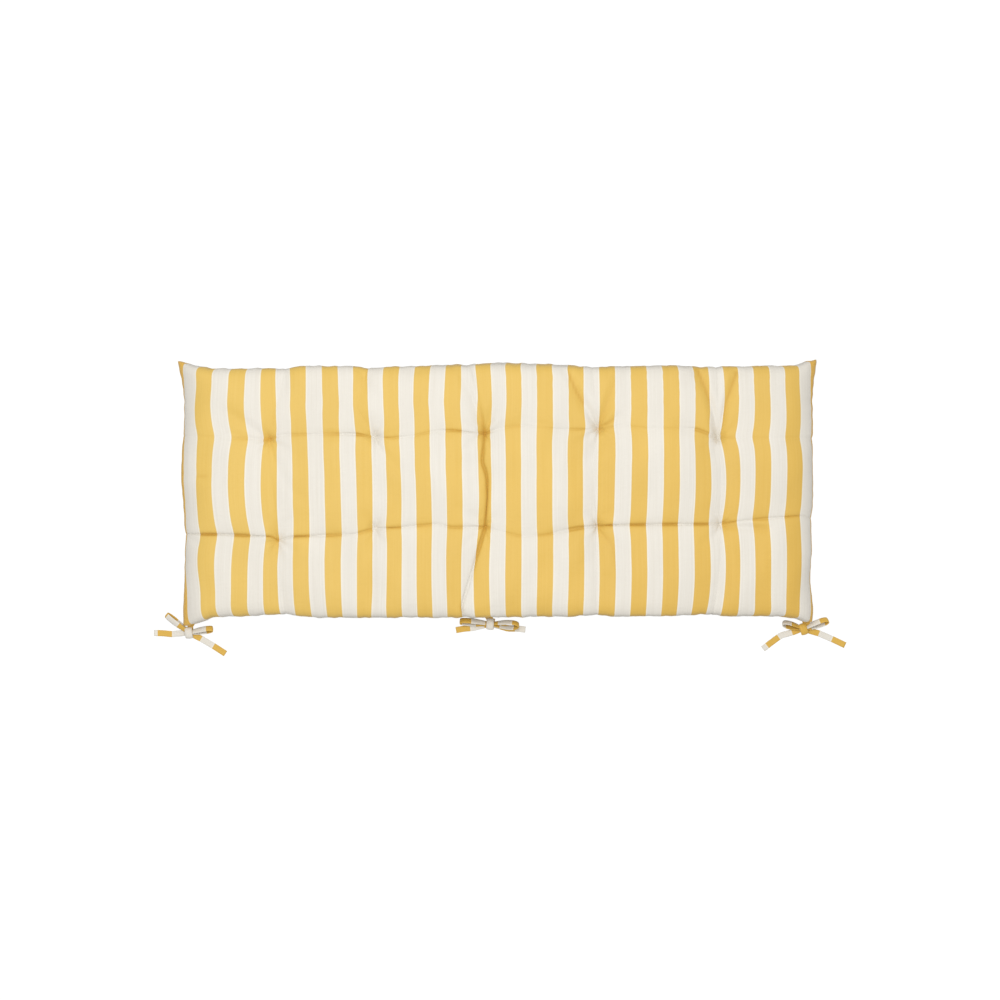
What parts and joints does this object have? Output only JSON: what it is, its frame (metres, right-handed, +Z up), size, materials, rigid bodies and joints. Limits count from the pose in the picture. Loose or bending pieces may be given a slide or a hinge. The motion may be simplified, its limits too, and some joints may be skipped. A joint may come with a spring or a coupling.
{
  "type": "bench cushion",
  "caption": "Long, thin, filled bench cushion in striped cotton, seamed on a knife edge, tufted through its filling, with narrow ties knotted in bows along the front seam.",
  "frame": {"origin": "middle of the flat underside, on the surface that the cushion rests on", "axes": "+X along the cushion's length, +Y from the front seam with the ties to the back seam, +Z up out of the seat's face"},
  "size_m": [1.2999, 0.5566, 0.063],
  "materials": {
    "striped_cover": "plain-woven cotton in even yellow and cream stripes that cross the seat, matt",
    "striped_tie": "the same striped cotton folded and stitched into narrow tapes, the stripes crossing the tape, matt"
  },
  "bodies": {
    "root": {"cushion": "striped_cover", "tie_left_a": "striped_tie", "tie_left_b": "striped_tie", "tie_middle_a": "striped_tie", "tie_middle_b": "striped_tie", "tie_right_a": "striped_tie", "tie_right_b": "striped_tie"}
  },
  "joints": []
}
